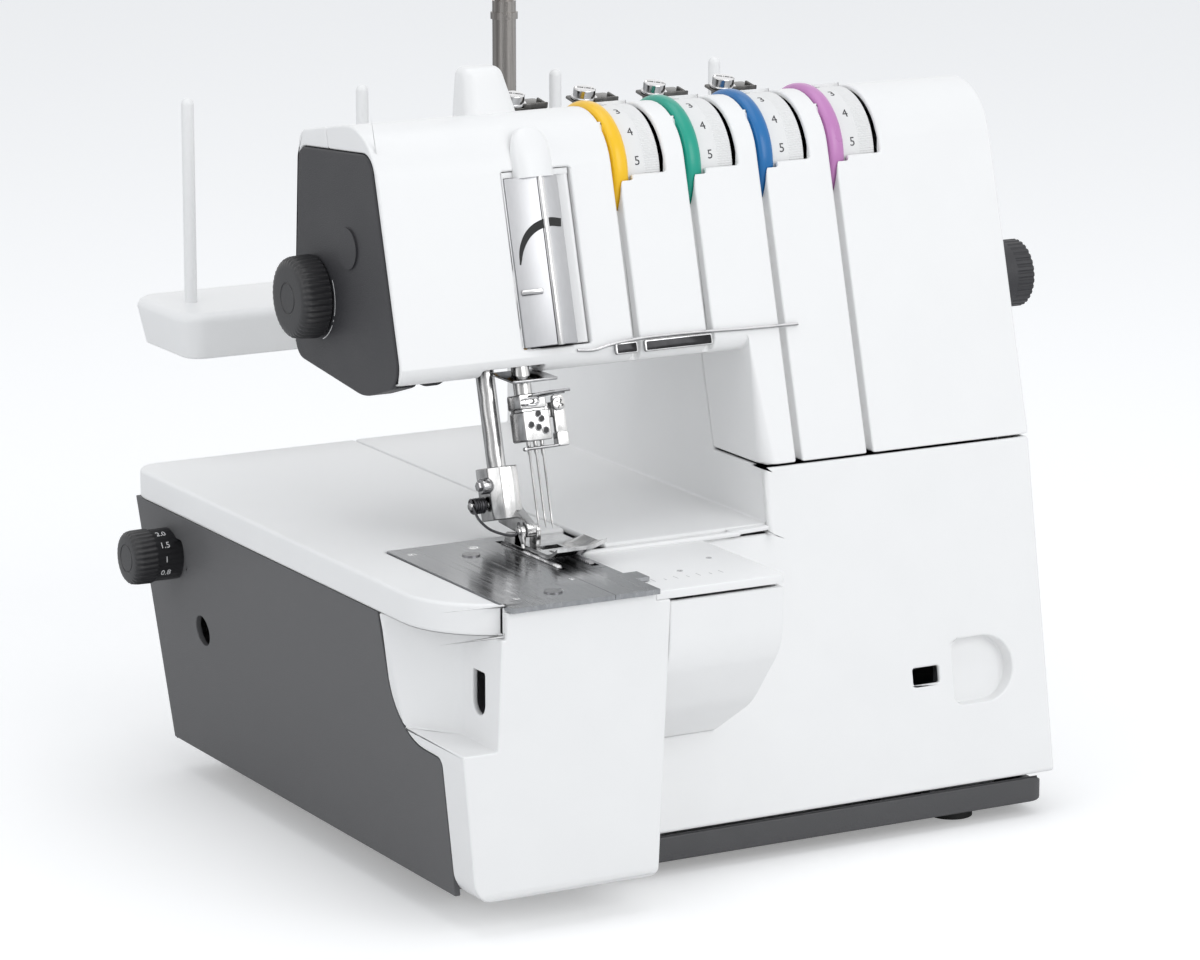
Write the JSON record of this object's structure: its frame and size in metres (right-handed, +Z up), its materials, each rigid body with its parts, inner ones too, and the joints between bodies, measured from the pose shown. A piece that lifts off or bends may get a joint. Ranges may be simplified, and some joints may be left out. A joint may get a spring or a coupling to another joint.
{
  "type": "serger overlock machine",
  "caption": "Serger-family cover stitch machine with thread tension dials, needle bar, presser foot, looper, drive and feed, and a spool stand with a telescopic thread mast",
  "frame": {"origin": "on the table, under the middle of the bounding box", "axes": "X runs to the right along the arm, Y to the back, Z up"},
  "size_m": [0.3816, 0.3584, 0.563],
  "materials": {
    "white_shell": "smooth moulded, semi-gloss",
    "dark_panel": "fine-grained, matt",
    "grey_panel": "fine-grained, matt",
    "black_plastic": "matt",
    "foot_rubber": "matt",
    "bright_sheet": "bright plated sheet",
    "guide_steel": "satin",
    "plate_steel": "long brushed grain",
    "casting": "as cast",
    "bronze": "sintered bronze",
    "polished_steel": "polished",
    "shaft_steel": "ground",
    "spring_steel": "dark drawn wire",
    "lamp": "frosted",
    "motor_paint": "semi-matt paint",
    "pulley_metal": "turned",
    "dial_white": "moulded",
    "ring_yellow": "moulded",
    "ring_green": "moulded",
    "ring_blue": "moulded",
    "ring_lilac": "moulded",
    "bush_nylon": "natural nylon"
  },
  "bodies": {
    "frame": {"base_tray": "grey_panel", "rubber_feet": "foot_rubber", "bed_cover": "white_shell", "bed_side_panel": "grey_panel", "bed_front_cover": "white_shell", "ruler_table": "white_shell", "front_shell": "white_shell", "rear_shell": "white_shell", "head_side_panel": "dark_panel", "head_plug": "dark_panel", "take_up_cover": "bright_sheet", "thread_strips": "bright_sheet", "top_post": "white_shell", "pretension_guides": "bright_sheet", "needle_plate": "plate_steel", "slide_plate": "plate_steel", "frame_casting": "casting", "shaft_bushes": "bronze", "lower_thread_guides": "guide_steel", "spool_stand": "white_shell", "spool_pins": "white_shell", "mast_tube": "guide_steel", "power_inlet": "black_plastic", "lamp_lens": "lamp", "motor": "motor_paint", "drive_belts": "foot_rubber", "tension_studs": "shaft_steel", "tension_springs": "spring_steel", "case_screws": "shaft_steel", "cover_hinge_rod": "shaft_steel"},
    "mast_top": {"mast_rod": "guide_steel", "thread_guide_bar": "guide_steel"},
    "main_drive": {"main_shaft": "shaft_steel", "handwheel": "white_shell"},
    "upper_shaft": {"arm_shaft": "shaft_steel"},
    "motor_drive": {"motor_pulley": "pulley_metal"},
    "tension_1": {"dial_1": "dial_white", "dial_ring_1": "ring_yellow"},
    "tension_2": {"dial_2": "dial_white", "dial_ring_2": "ring_green"},
    "tension_3": {"dial_3": "dial_white", "dial_ring_3": "ring_blue"},
    "tension_4": {"dial_4": "dial_white", "dial_ring_4": "ring_lilac"},
    "needle_unit": {"needle_bar": "polished_steel", "needle_clamp": "polished_steel", "needles": "polished_steel"},
    "presser_unit": {"presser_bar": "polished_steel", "foot_holder": "polished_steel", "foot_spring": "spring_steel"},
    "foot": {"presser_foot": "polished_steel"},
    "lifter": {"presser_lifter": "dark_panel"},
    "looper": {"chain_looper": "polished_steel"},
    "feed": {"feed_dogs": "shaft_steel"},
    "pressure": {"pressure_dial": "dark_panel"},
    "feed_setting": {"feed_dial": "dark_panel"},
    "length_setting": {"stitch_length_dial": "dark_panel"},
    "cover_slide": {"cover_bushes": "bush_nylon"},
    "cover": {"front_cover": "white_shell"},
    "switch": {"power_switch": "black_plastic"}
  },
  "joints": [
    {"name": "main_shaft_turn", "type": "hinge", "parent": "frame", "child": "main_drive", "pos_m": [0.06, -0.052, 0.107], "axis": [1, 0, 0], "continuous": true},
    {"name": "arm_shaft_turn", "type": "hinge", "parent": "frame", "child": "upper_shaft", "pos_m": [0.06, -0.042, 0.228], "axis": [1, 0, 0], "continuous": true},
    {"name": "motor_turn", "type": "hinge", "parent": "frame", "child": "motor_drive", "pos_m": [0.1, 0.042, 0.062], "axis": [1, 0, 0], "continuous": true},
    {"name": "mast_draw", "type": "slide", "parent": "frame", "child": "mast_top", "axis": [0, 0, 1], "range_m": [-0.09, 0]},
    {"name": "tension_1_turn", "type": "hinge", "parent": "frame", "child": "tension_1", "pos_m": [-0.0355, -0.04413, 0.2707], "axis": [1, 0, 0], "range_deg": [-108, 135]},
    {"name": "tension_2_turn", "type": "hinge", "parent": "frame", "child": "tension_2", "pos_m": [-0.0021, -0.04413, 0.2707], "axis": [1, 0, 0], "range_deg": [-108, 135]},
    {"name": "tension_3_turn", "type": "hinge", "parent": "frame", "child": "tension_3", "pos_m": [0.0313, -0.04413, 0.2707], "axis": [1, 0, 0], "range_deg": [-108, 135]},
    {"name": "tension_4_turn", "type": "hinge", "parent": "frame", "child": "tension_4", "pos_m": [0.0647, -0.04413, 0.2707], "axis": [1, 0, 0], "range_deg": [-108, 135]},
    {"name": "needle_bar_stroke", "type": "slide", "parent": "frame", "child": "needle_unit", "axis": [0, 0.2605, 0.9655], "range_m": [-0.022, 0.003]},
    {"name": "presser_bar_lift", "type": "slide", "parent": "frame", "child": "presser_unit", "axis": [0, 0.2605, 0.9655], "range_m": [0, 0.006]},
    {"name": "foot_rock", "type": "hinge", "parent": "presser_unit", "child": "foot", "pos_m": [-0.1005, -0.10057, 0.1412], "axis": [1, 0, 0], "range_deg": [-2, 0.8]},
    {"name": "lifter_turn", "type": "hinge", "parent": "frame", "child": "lifter", "pos_m": [-0.0875, 0.005, 0.224], "axis": [0, 1, 0], "range_deg": [0, 80]},
    {"name": "looper_swing", "type": "hinge", "parent": "frame", "child": "looper", "pos_m": [-0.0955, -0.1, 0.06], "axis": [0, 1, 0], "range_deg": [-12, 6]},
    {"name": "feed_stroke", "type": "slide", "parent": "frame", "child": "feed", "axis": [0, 1, 0], "range_m": [-0.0025, 0.0025]},
    {"name": "pressure_turn", "type": "hinge", "parent": "frame", "child": "pressure", "pos_m": [-0.155, -0.016, 0.225], "axis": [1, 0, 0], "range_deg": [-150, 150]},
    {"name": "feed_dial_turn", "type": "hinge", "parent": "frame", "child": "feed_setting", "pos_m": [-0.185, 0.085, 0.101], "axis": [1, 0, 0], "range_deg": [-120, 120]},
    {"name": "stitch_length_turn", "type": "hinge", "parent": "frame", "child": "length_setting", "pos_m": [0.14, -0.067, 0.216], "axis": [1, 0, 0], "range_deg": [-120, 120]},
    {"name": "cover_shift", "type": "slide", "parent": "frame", "child": "cover_slide", "axis": [1, 0, 0], "range_m": [0, 0.005]},
    {"name": "cover_fold", "type": "hinge", "parent": "cover_slide", "child": "cover", "pos_m": [0.04, -0.11667, 0.0275], "axis": [1, 0, 0], "range_deg": [0, 70]},
    {"name": "switch_rock", "type": "hinge", "parent": "frame", "child": "switch", "pos_m": [0.125, 0.082, 0.062], "axis": [0, 1, 0], "range_deg": [0, 14]}
  ],
  "couplings": [
    {"joint": "arm_shaft_turn", "follows": "main_shaft_turn", "ratio": 1},
    {"joint": "motor_turn", "follows": "main_shaft_turn", "ratio": 5},
    {"joint": "lifter_turn", "follows": "presser_bar_lift", "rad_per_m": 232.61}
  ]
}
